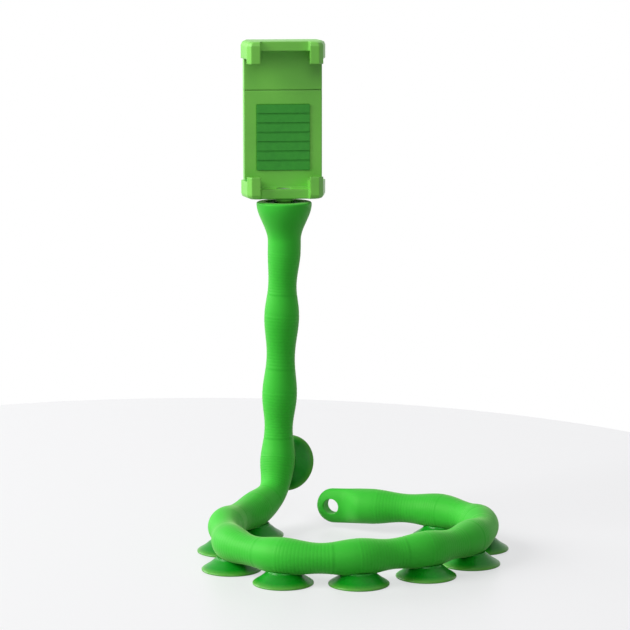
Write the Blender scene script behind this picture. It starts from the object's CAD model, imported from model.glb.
import math

import bmesh
import bpy
from mathutils import Matrix, Vector


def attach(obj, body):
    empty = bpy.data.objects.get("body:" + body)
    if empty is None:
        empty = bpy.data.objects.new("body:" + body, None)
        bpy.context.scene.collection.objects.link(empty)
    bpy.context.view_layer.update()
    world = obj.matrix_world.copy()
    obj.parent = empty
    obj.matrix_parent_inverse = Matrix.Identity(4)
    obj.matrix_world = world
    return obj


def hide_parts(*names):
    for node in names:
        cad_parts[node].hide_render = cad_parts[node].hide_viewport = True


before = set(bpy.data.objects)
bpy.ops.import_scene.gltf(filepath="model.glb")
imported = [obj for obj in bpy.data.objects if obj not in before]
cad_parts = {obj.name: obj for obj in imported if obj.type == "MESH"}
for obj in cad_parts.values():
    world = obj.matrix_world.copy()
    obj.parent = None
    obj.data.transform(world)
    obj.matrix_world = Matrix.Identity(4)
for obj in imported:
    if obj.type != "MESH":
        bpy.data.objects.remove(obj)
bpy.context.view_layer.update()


# View
# The camera stands a little to the left of the holder and looks down on the
# table with a long lens, as in the photograph.
lens_px, picture_px = 2700, 630
look_down, look_right = 8.94, 5.7
camera_data = bpy.data.cameras.new("camera")
camera_data.sensor_width = 36
camera_data.lens = lens_px / picture_px * camera_data.sensor_width
camera_data.clip_start = 0.01
camera_data.clip_end = 20
camera = bpy.data.objects.new("camera", camera_data)
camera.location = (-0.1421, -1.2448, 0.311)
camera.rotation_euler = (math.radians(90 - look_down), 0, math.radians(-look_right))
bpy.context.scene.collection.objects.link(camera)
bpy.context.scene.camera = camera
bpy.context.scene.view_settings.view_transform = "Standard"


# Table and room
# A plain round white table top in a white room, lit by a large soft lamp on
# the left, weaker ones in front and at the back left, and the room itself.
class Socket:
    """One node socket, so that a finish is an expression on values and each operator adds its Math node."""

    def __init__(self, tree, link):
        self.tree, self.link = tree, link

    def node(self, kind, settings=(), out=0, **inputs):
        """A new node: its settings first, then its inputs by name, or by number as i0, i1 and so on."""
        made = self.tree.nodes.new(kind)
        for name, value in dict(settings).items():
            setattr(made, name, value)
        for name, value in inputs.items():
            key = int(name[1:]) if name[0] == "i" and name[1:].isdigit() else name.replace("_", " ")
            socket = made.inputs[key]
            if isinstance(value, Socket):
                self.tree.links.new(value.link, socket)
            else:
                socket.default_value = value
        return Socket(self.tree, made.outputs[out])

    def maths(self, operation, *values):
        return self.node("ShaderNodeMath", {"operation": operation}, **{f"i{i}": v for i, v in enumerate(values)})

    def __add__(self, other):
        return self.maths("ADD", self, other)

    def __mul__(self, other):
        return self.maths("MULTIPLY", self, other)

    __radd__ = __add__
    __rmul__ = __mul__

    def span(self, low, high, to_low=0.0, to_high=1.0):
        return self.node("ShaderNodeMapRange", i0=self, i1=low, i2=high, i3=to_low, i4=to_high)

    def tint(self, first, second):
        """The colour between first and second that this value picks."""
        def rgba(color):
            return color if isinstance(color, Socket) else (*color, 1)
        return self.node("ShaderNodeMix", {"data_type": "RGBA"}, out=2, i0=self, i6=rgba(first), i7=rgba(second))


class Finish:
    """A material, its shader and the place on the piece that patterns read."""

    def __init__(self, name, **shader):
        self.material = bpy.data.materials.new(name)
        self.material.use_nodes = True
        tree = self.material.node_tree
        tree.nodes.clear()
        self.start = Socket(tree, None)
        self.shader = tree.nodes.new("ShaderNodeBsdfPrincipled")
        output = tree.nodes.new("ShaderNodeOutputMaterial")
        tree.links.new(self.shader.outputs[0], output.inputs[0])
        self.place = self.start.node("ShaderNodeTexCoord", out=3)
        self.set(**shader)

    def set(self, **shader):
        for name, value in shader.items():
            socket = self.shader.inputs[name.replace("_", " ")]
            if isinstance(value, Socket):
                self.start.tree.links.new(value.link, socket)
            else:
                socket.default_value = value

    def attribute(self, name):
        return self.start.node("ShaderNodeAttribute", {"attribute_name": name}, out=2)

    def noise(self, scale, detail):
        return self.start.node("ShaderNodeTexNoise", Vector=self.place, Scale=scale, Detail=detail)

    def patches(self, scale, first, second, smooth, rough):
        """Soft patches: a colour between first and second, and a roughness between smooth and rough."""
        cloud = self.noise(scale, 3)
        return cloud.span(0.3, 0.7).tint(first, second), cloud.span(0.3, 0.7, smooth, rough)

    def grain(self, scale, strength, detail=2, depth=0.0002, **under):
        """A fine bump for Normal, over another normal if one is given."""
        return self.start.node("ShaderNodeBump", Height=self.noise(scale, detail), Strength=strength,
                               Distance=depth, **under)


table_radius, table_thick = 0.3474, 0.03
table_centre = Vector((-0.0802, 0.0542, 0))
# The top is white to the eye by its own light, and keeps the holder's shadow by the lamps' light
table_finish = Finish("table_white", Roughness=0.4, Specular_IOR_Level=0.1, Emission_Strength=1.0)
to_camera = table_finish.start.node("ShaderNodeLightPath", out=0)
to_gloss = table_finish.start.node("ShaderNodeLightPath", out=3)
to_eye = table_finish.start.maths("MAXIMUM", to_camera, to_gloss)
table_finish.set(Base_Color=to_eye.tint((0.36, 0.36, 0.37), (0.26, 0.26, 0.26)),
                 Emission_Color=to_eye.tint((0, 0, 0), (0.56, 0.56, 0.57)))
bm = bmesh.new()
bmesh.ops.create_circle(bm, cap_ends=True, segments=192, radius=table_radius)
bmesh.ops.translate(bm, verts=bm.verts, vec=table_centre)
lower = bmesh.ops.extrude_face_region(bm, geom=bm.faces[:])["geom"]
bmesh.ops.translate(bm, verts=[v for v in lower if isinstance(v, bmesh.types.BMVert)], vec=(0, 0, -table_thick))
bmesh.ops.recalc_face_normals(bm, faces=bm.faces)
table_mesh = bpy.data.meshes.new("table")
bm.to_mesh(table_mesh)
bm.free()
table = bpy.data.objects.new("table", table_mesh)
bpy.context.scene.collection.objects.link(table)
table_mesh.materials.append(table_finish.material)


def lamp(name, place, aim, size, power):
    """A round soft lamp at a place, turned to what it lights."""
    data = bpy.data.lights.new(name, "AREA")
    data.shape = "DISK"
    data.size = size
    data.energy = power
    made = bpy.data.objects.new(name, data)
    made.location = place
    made.rotation_euler = (Vector(aim) - Vector(place)).to_track_quat("-Z", "Y").to_euler()
    bpy.context.scene.collection.objects.link(made)


lamp("left_lamp", (-1.86, -0.3, 1.25), (0, 0, 0.08), 1.5, 55)
lamp("front_lamp", (-0.2, -1.6, 1.3), (0, 0, 0.08), 1.2, 9)
lamp("back_lamp", (-1.6, 1.1, 0.7), (0, 0, 0.1), 0.9, 15)

# The room is white where it is seen, mirrored or looked through, and a weak light elsewhere
room = bpy.data.worlds.new("room")
bpy.context.scene.world = room
room.use_nodes = True
room.node_tree.nodes.clear()
room_start = Socket(room.node_tree, None)
seen = room_start.node("ShaderNodeLightPath", out=0)
mirrored = room_start.node("ShaderNodeLightPath", out=3)
through = room_start.node("ShaderNodeLightPath", out=6)
shown = room_start.maths("MAXIMUM", seen, room_start.maths("MAXIMUM", mirrored, through))
room_light = room_start.node("ShaderNodeBackground", Color=(1, 1, 1, 1), Strength=0.2)
room_white = room_start.node("ShaderNodeBackground", Color=(1, 1, 1, 1), Strength=1.0)
room_mix = room_start.node("ShaderNodeMixShader", i0=shown, i1=room_light, i2=room_white)
room_out = room.node_tree.nodes.new("ShaderNodeOutputWorld")
room.node_tree.links.new(room_mix.link, room_out.inputs[0])


# Arm skin
# One soft moulded tube over the core wire, with a bulge about every 34 mm,
# fine rings on the necks, a flat tail tab with a hole and a flared head.
MM = 0.001
bulge_d, neck_d, head_d = 17.2, 14.0, 27.0
flare_len, head_rim = 18.0, 1.0
tail_t, tail_hole_d, tail_hole_back = 7.2, 7.6, 8.2
bulge_count, cup_count = 14, 10
cup_reach = 12.6
coil_w, coil_l, stem_h = 121.0, 122.0, 148.4
stem_x, stem_y, stem_lean = -27.0, 60.0, 3.6

# The line of the bend: the tail tip, then a point at each bulge and one midway
# between two, in shares of the coil's width and length and the stem's lean and height
coil_line = [
    (-0.093, 0.431, -0.012), (0.011, 0.376, -0.006), (0.116, 0.328, -0.001),
    (0.252, 0.275, 0), (0.38, 0.205, 0), (0.467, 0.107, 0), (0.504, -0.008, 0),
    (0.492, -0.139, 0), (0.431, -0.244, 0), (0.339, -0.343, 0), (0.234, -0.415, 0),
    (0.099, -0.466, 0), (-0.033, -0.504, 0), (-0.178, -0.508, 0), (-0.314, -0.463, 0),
    (-0.423, -0.369, 0), (-0.492, -0.238, 0), (-0.501, -0.094, 0), (-0.492, 0.053, 0),
    (-0.435, 0.182, 0), (-0.36, 0.301, 0.003), (-0.278, 0.41, 0.043), (-0.253, 0.475, 0.139)]
stem_line = [
    (0.81, 0.243), (0.67, 0.357), (0.5, 0.485), (0.36, 0.615), (0.25, 0.727),
    (0, 0.835), (0, 0.919), (0, 1)]
arm_route = [Vector((x * coil_w, y * coil_l, cup_reach + z * stem_h)) for x, y, z in coil_line]
arm_route += [Vector((stem_x - lean * stem_lean, stem_y, cup_reach + z * stem_h)) for lean, z in stem_line]
head_u = len(arm_route) - 1
head_point = arm_route[-1]
head_step = (arm_route[-1] - arm_route[-2]).length
tail_step = (arm_route[1] - arm_route[0]).length
stem_top_d = (bulge_d + neck_d) / 2 + 0.6


def route_at(i):
    """Point i of the route, carried on straight past either end."""
    if i < 0:
        return 2 * arm_route[0] - arm_route[1]
    if i > head_u:
        return 2 * arm_route[head_u] - arm_route[head_u - 1]
    return arm_route[i]


def arm_axis(u):
    """The arm's axis at u on a smooth curve through the route, where whole numbers are its points."""
    i = min(int(math.floor(u)), head_u - 1)
    t = u - i
    a, b, c, d = (route_at(i + k) for k in (-1, 0, 1, 2))
    return 0.5 * (2 * b + (c - a) * t + (2 * a - 5 * b + 4 * c - d) * t * t + (3 * b - a - 3 * c + d) * t ** 3)


def arm_along(u):
    near = 0.05
    return (arm_axis(min(u + near, head_u)) - arm_axis(max(u - near, 0))).normalized()


def arm_sides(u):
    """The side and the back direction of the arm: its back is up on the table and forward on the stem."""
    coil_end, turn_len = 20, 3
    turn = max(0, min(1, (u - coil_end) / turn_len))
    ref = (1 - turn) * Vector((0, 0, 1)) + turn * Vector((-0.6, -1, 0))
    along = arm_along(u)
    side = ref.cross(along).normalized()
    return side, along.cross(side)


def bulge_u(k):
    return 2 + 2 * k


def eased(k):
    """From 0 to 1 with a soft start and a soft end."""
    k = max(0, min(1, k))
    return k * k * (3 - 2 * k)


def arm_radius(u):
    """Round the axis at u: the tail's, a bulge or a neck, then the flare of the head."""
    if u < bulge_u(0):
        return bulge_d / 2
    if u < bulge_u(bulge_count - 1):
        peak = bulge_d if u < bulge_u(bulge_count - 1.5) else stem_top_d
        return neck_d / 2 + (peak - neck_d) / 2 * math.cos(math.pi * (u / 2 % 1)) ** 2
    down = head_point.z - arm_axis(u).z
    return stem_top_d / 2 + (head_d - stem_top_d) / 2 * (1 - eased((down - head_rim) / flare_len))


# The rings' pitch and the end of the last one, in shares of the way from a
# bulge to the next; their depth in mm; how flat their crests are
rib_pitch, rib_last = 0.0431, 1.04
rib_deep, rib_crest = 0.085, 1.9
steps_per_rib = 6


def rib_count(k):
    """The rings behind the tail tab begin at once, the others halfway to the next bulge."""
    return 16 if k else 22


def rib_first(k):
    return rib_last - rib_count(k) * rib_pitch


def rib_height(u):
    """1 on a ring's crest, 0 in the groove, and None on the smooth bands."""
    for shift in (0, 1):
        k = math.floor(u / 2) - 1 - shift
        part = u / 2 - 1 - k
        if 0 <= k < bulge_count - 1 and rib_first(k) <= part <= rib_last:
            phase = (part - rib_first(k)) / rib_pitch
            return min(1, rib_crest * math.sin(math.pi * (phase % 1)))
    return None


def evenly(start, end, count):
    """Equal steps from start to just before end."""
    return [start + (end - start) * i / count for i in range(count)]


# The stations along the axis where the skin has a row of points
tip_u, rim_u = bulge_d / 2 / tail_step, 29.9
tab_rows, flare_rows, rim_round = 20, 28, 0.9
stations = [tip_u * (1 - math.cos(math.radians(a))) for a in range(4, 90, 6)]
stations += evenly(tip_u, bulge_u(0), tab_rows)
for k in range(bulge_count - 1):
    # From the end of the last rings over the smooth band, then ring by ring
    band_start = rib_last - 1 if k else 0
    band_end, band_steps = rib_first(k), 9 if k else 3
    stations += [bulge_u(k) + 2 * part for part in evenly(band_start, band_end, band_steps)]
    rib_end = rib_last if k < bulge_count - 2 else 1
    rib_steps = round(steps_per_rib * (rib_end - band_end) / rib_pitch)
    stations += [bulge_u(k) + 2 * part for part in evenly(band_end, rib_end, rib_steps)]
stations += evenly(bulge_u(bulge_count - 1), rim_u, flare_rows) + [rim_u]
rim_arc = [math.radians(a) for a in range(0, 91, 15)]
rim_row = len(stations)
stations += [head_u - rim_round * (1 - math.sin(a)) / head_step for a in rim_arc]
last_row = len(stations) - 1

skin_sides = 44
tab_len, tab_blend = 13, 12
bm = bmesh.new()
bmesh.ops.create_grid(bm, x_segments=skin_sides, y_segments=last_row, size=0.5)
groove = bm.verts.layers.float.new("groove")
rows = {}
for vert in bm.verts:
    rows.setdefault(round((vert.co.y + 0.5) * last_row), []).append(vert)
for row, verts in rows.items():
    u = stations[row]
    centre, (side, back) = arm_axis(u), arm_sides(u)
    radius = arm_radius(u)
    rib = rib_height(u)
    shade = 0.0
    if rib is not None:
        radius -= rib_deep * (1 - rib)
        shade = 1 - rib
    if row >= rim_row:
        radius = head_d / 2 - rim_round * (1 - math.cos(rim_arc[row - rim_row]))
    thick, tip = radius, 1.0
    if u < bulge_u(0):
        # The tail tab is the round arm pressed flat, with a half-round end
        from_tip = u * tail_step
        thick = tail_t / 2 + (bulge_d / 2 - tail_t / 2) * eased((from_tip - tab_len) / tab_blend)
        tip = math.sqrt(1 - max(0, 1 - from_tip / (bulge_d / 2)) ** 2)
        thick *= math.sqrt(1 - max(0, 1 - from_tip / (tail_t / 2)) ** 2)
    for vert in verts:
        turn = 2 * math.pi * (vert.co.x + 0.5)
        across, up = thick * math.cos(turn), radius * math.sin(turn)
        vert[groove] = shade
        vert.co = (centre + across * side + up * tip * back) * MM
bmesh.ops.remove_doubles(bm, verts=bm.verts, dist=1e-7)
bmesh.ops.holes_fill(bm, edges=[e for e in bm.edges if e.is_boundary], sides=0)
bmesh.ops.recalc_face_normals(bm, faces=bm.faces)

skin_finish = Finish("soft_green_skin", Specular_IOR_Level=0.3, Specular_Tint=(0.75, 1.0, 0.5, 1.0),
                     Sheen_Weight=0.3, Sheen_Roughness=0.4, Sheen_Tint=(0.8, 1.0, 0.5, 1.0),
                     Subsurface_Weight=0.1, Subsurface_Radius=(0.3, 1.0, 0.25), Subsurface_Scale=0.0025)
skin_green, skin_rough = skin_finish.patches(38, (0.03, 0.45, 0.028), (0.04, 0.5, 0.036), 0.5, 0.6)
in_groove = skin_finish.attribute("groove")
groove_dark, groove_dull = 0.16, 0.1
skin_finish.set(Base_Color=(in_groove * groove_dark).tint(skin_green, (0.01, 0.32, 0.015)),
                Roughness=skin_rough + in_groove * groove_dull, Normal=skin_finish.grain(1700, 0.12))


def piece(name, bm, finish, body, smooth_angle):
    """The finished bmesh as an object that rides on a body and shades smooth below an angle."""
    mesh = bpy.data.meshes.new(name)
    for face in bm.faces:
        face.smooth = True
    for edge in bm.edges:
        if len(edge.link_faces) == 2 and edge.calc_face_angle(0) > smooth_angle:
            edge.smooth = False
    bm.to_mesh(mesh)
    bm.free()
    made = bpy.data.objects.new(name, mesh)
    bpy.context.scene.collection.objects.link(made)
    made.data.materials.append(finish.material)
    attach(made, body)
    return made


arm_skin = piece("arm_skin", bm, skin_finish, "arm", math.radians(60))
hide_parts("arm_sleeve")


def lathe(profile, steps=72):
    """Spins a profile of (radius, height) pairs round Z into a closed shell."""
    bm = bmesh.new()
    verts = [bm.verts.new((r, 0, z)) for r, z in profile]
    edges = [bm.edges.new(pair) for pair in zip(verts, verts[1:])]
    bmesh.ops.spin(bm, geom=verts + edges, cent=(0, 0, 0), axis=(0, 0, 1), angle=2 * math.pi, steps=steps,
                   use_merge=True)
    bmesh.ops.remove_doubles(bm, verts=bm.verts, dist=1e-4)
    bmesh.ops.recalc_face_normals(bm, faces=bm.faces)
    return bm


def turned(place, direction, bm):
    """Turns a shape's own Z towards a direction and sets it in place, in mm."""
    turn = Vector(direction).to_track_quat("Z", "Y").to_matrix().to_4x4()
    bmesh.ops.transform(bm, verts=bm.verts, matrix=Matrix.Scale(MM, 4) @ Matrix.Translation(place) @ turn)
    return bm


# The hanging hole, with rounded edges on both faces of the tab
hole_r, hole_edge, hole_past = tail_hole_d / 2, 0.7, 6
edge_out, edge_in = 0.25, 0.3
hole_half = [(hole_r, tail_t / 2 - hole_edge), (hole_r + edge_out, tail_t / 2 - edge_in),
             (hole_r + hole_edge, tail_t / 2), (hole_r + hole_edge, hole_past)]
hole_cut = [(0, -hole_past), *[(r, -z) for r, z in reversed(hole_half)], *hole_half, (0, hole_past)]

# A cup's pocket: round its flank, its hub and its plug, with room to push it in
seat_gap, seat_in, hub_h = 0.1, 2.3, 0.8
hub_r, plug_r = 7.2, 3.2
wire_r, channel_gap, wire_cover = 2, 0.15, 1
seat_z = cup_reach - bulge_d / 2 + seat_in
hub_z = seat_z - hub_h
plug_z = cup_reach - wire_r - channel_gap - wire_cover - seat_gap
cup_flank = [(11.5, 2.35), (10.3, 3.15), (9.2, 4.05), (8.3, 4.85)]
pocket_cut = [(0, cup_flank[0][1]), *[(r + 2 * seat_gap, z) for r, z in cup_flank],
              (hub_r + seat_gap, hub_z + seat_gap), (hub_r + seat_gap, seat_z), (plug_r + seat_gap, seat_z),
              (plug_r + seat_gap, plug_z + seat_gap), (0, plug_z + seat_gap)]

# The head's stepped pocket: for the wire's end, the ball's seat and the collar of the insert
wire_socket_r, wire_socket_deep = 4.5, 24.1
socket_r, socket_deep = 7.5, 13.9
collar_r, collar_deep = 8.9, 7.6
head_cut = [(0, -wire_socket_deep), (wire_socket_r, -wire_socket_deep), (wire_socket_r, -socket_deep),
            (socket_r, -socket_deep), (socket_r, -collar_deep), (collar_r, -collar_deep), (collar_r, 1), (0, 1)]


def cup_place(i):
    """Where the middle of cup i's rim lies, and which way its neck points."""
    u = bulge_u(i)
    axis, back = arm_axis(u), arm_sides(u)[1]
    if i < cup_count:
        return Vector((axis.x, axis.y, 0)), Vector((0, 0, 1))
    return axis - cup_reach * back, back


def cut(target, cutters):
    """Cuts each cutter's mesh out of the target, and keeps the cut's corners sharp."""
    for number, cutter in enumerate(cutters):
        mesh = bpy.data.meshes.new(f"cutter_{number}")
        cutter.to_mesh(mesh)
        cutter.free()
        tool = bpy.data.objects.new(f"cutter_{number}", mesh)
        bpy.context.scene.collection.objects.link(tool)
        step = target.modifiers.new("cut", "BOOLEAN")
        step.operation = "DIFFERENCE"
        step.solver = "EXACT"
        step.object = tool
        bpy.context.view_layer.update()
        graph = bpy.context.evaluated_depsgraph_get()
        result = bpy.data.meshes.new_from_object(target.evaluated_get(graph), depsgraph=graph)
        target.modifiers.clear()
        target.data = result
        bpy.data.objects.remove(tool)
    sharp_angle = math.radians(38)
    bm = bmesh.new()
    bm.from_mesh(target.data)
    for edge in bm.edges:
        edge.smooth = len(edge.link_faces) != 2 or edge.calc_face_angle(0) < sharp_angle
    bm.to_mesh(target.data)
    bm.free()


hole_u = tail_hole_back / tail_step
pocket_steps = 48
cut(arm_skin, [turned(arm_axis(hole_u), arm_sides(hole_u)[0], lathe(hole_cut)),
               *[turned(*cup_place(i), lathe(pocket_cut, pocket_steps)) for i in range(1, cup_count + 1)],
               turned(head_point, (0, 0, 1), lathe(head_cut))])


# Suction cups
# Ten soft dished discs moulded in a glossier, clearer green, each pushed by
# its neck and plug into a round pocket of the arm.
cup_finish = Finish("clear_green_cup", Specular_IOR_Level=0.22, Subsurface_Weight=0.3,
                    Subsurface_Radius=(0.2, 1.0, 0.25), Subsurface_Scale=0.003)
cup_green, cup_rough = cup_finish.patches(60, (0.002, 0.22, 0.007), (0.004, 0.27, 0.01), 0.26, 0.36)
through_rim = cup_finish.attribute("thin") * 0.75
cup_finish.set(Base_Color=through_rim.tint(cup_green, (0.12, 0.38, 0.05)), Roughness=cup_rough,
               Normal=cup_finish.grain(900, 0.06))
cup_r, cup_hollow = 14.0, 2.6
rim_in, rim_width = 12.2, 1.6
hollow_r = cup_r - 1.1
hollow_ball = (hollow_r ** 2 + cup_hollow ** 2) / (2 * cup_hollow)
hollow = evenly(0, hollow_r, 12)
cup_profile = [(r, cup_hollow - hollow_ball + math.sqrt(hollow_ball ** 2 - r * r)) for r in hollow]
cup_profile += [(hollow_r, 0.03), (hollow_r + 0.4, 0), (cup_r - 0.3, 0), (cup_r - 0.08, 0.1), (cup_r, 0.35),
                (cup_r - 0.06, 0.7), (cup_r - 0.35, 1.0), (cup_r - 1.25, 1.6), *cup_flank,
                (hub_r + 0.3, hub_z - 0.1), (hub_r, hub_z + 0.3), (hub_r, seat_z - 0.35),
                (hub_r - 0.25, seat_z - 0.1), (plug_r, seat_z - 0.1), (plug_r, plug_z - 0.5),
                (plug_r - 0.5, plug_z), (0, plug_z)]
for i in range(1, cup_count + 1):
    bm = lathe(cup_profile)
    thin = bm.verts.layers.float.new("thin")
    for vert in bm.verts:
        # Light comes through the thin rim
        vert[thin] = max(0, min(1, (vert.co.xy.length - rim_in) / rim_width))
    cup = piece(f"cup_{i:02d}", turned(*cup_place(i), bm), cup_finish, "arm", math.radians(45))
    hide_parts(f"suction_cup_{i:02d}")


# Core wire
# One soft drawn wire that keeps the bend of the arm, blind at the tail and
# gripped by the head insert; the skin is moulded over it.
def dress(finish, *names):
    """Gives CAD nodes their finish."""
    for name in names:
        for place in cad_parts[name].material_slots:
            place.material = finish.material


wire_finish = Finish("drawn_wire", Metallic=1.0)
wire_grey, wire_rough = wire_finish.patches(700, (0.5, 0.5, 0.52), (0.62, 0.62, 0.64), 0.3, 0.45)
wire_finish.set(Base_Color=wire_grey, Roughness=wire_rough)
dress(wire_finish, "core_wire")


# Ball joint
# A hard green insert moulded into the head, a green threaded ring, and a
# split white liner that grips the ball of the stud.
socket_finish = Finish("socket_green", Specular_IOR_Level=0.05)
socket_green, socket_rough = socket_finish.patches(90, (0.014, 0.27, 0.018), (0.02, 0.31, 0.024), 0.42, 0.55)
socket_finish.set(Base_Color=socket_green, Roughness=socket_rough, Normal=socket_finish.grain(1500, 0.1))
dress(socket_finish, "head_insert", "socket_ring")
liner_finish = Finish("liner_plastic", Specular_IOR_Level=0.3)
liner_white, liner_rough = liner_finish.patches(400, (0.6, 0.6, 0.58), (0.7, 0.7, 0.68), 0.28, 0.4)
liner_finish.set(Base_Color=liner_white, Roughness=liner_rough)
dress(liner_finish, "ball_liner")


# Clamp
# Satin moulded green plastic: a housing with the lower jaw, a rear cover and
# a sliding upper jaw. The ball stud is moulded in the same plastic.
clamp_finish = Finish("clamp_green", Specular_IOR_Level=0.45)
clamp_green, clamp_rough = clamp_finish.patches(45, (0.15, 0.53, 0.058), (0.18, 0.58, 0.07), 0.34, 0.46)
soft_edge = clamp_finish.start.node("ShaderNodeBevel", {"samples": 6}, Radius=0.0009)
clamp_finish.set(Base_Color=clamp_green, Roughness=clamp_rough,
                 Normal=clamp_finish.grain(1400, 0.1, Normal=soft_edge))
dress(clamp_finish, "clamp_housing", "clamp_cover", "upper_jaw", "ball_stud")


# Screws and springs
# Turned steel screws with cross slots, and two wound steel springs that pull
# the upper jaw down.
steel_finish = Finish("turned_steel", Metallic=1.0)
steel_grey, steel_rough = steel_finish.patches(500, (0.5, 0.5, 0.52), (0.6, 0.6, 0.62), 0.25, 0.4)
steel_finish.set(Base_Color=steel_grey, Roughness=steel_rough)
dress(steel_finish, "stud_screw", "cover_screws", "jaw_spring_left", "jaw_spring_right")


# Grip pads
# Soft rubber inlays in the jaws and a ribbed one in the back plate, darker
# and duller than the plastic round them.
pad_finish = Finish("pad_green", Specular_IOR_Level=0.35)
pad_green, pad_rough = pad_finish.patches(300, (0.035, 0.3, 0.03), (0.05, 0.36, 0.04), 0.62, 0.78)
pad_finish.set(Base_Color=pad_green, Roughness=pad_rough, Normal=pad_finish.grain(300, 0.2, detail=3))
dress(pad_finish, "back_pad", "lower_pad_left", "lower_pad_right", "upper_pad_left", "upper_pad_right")
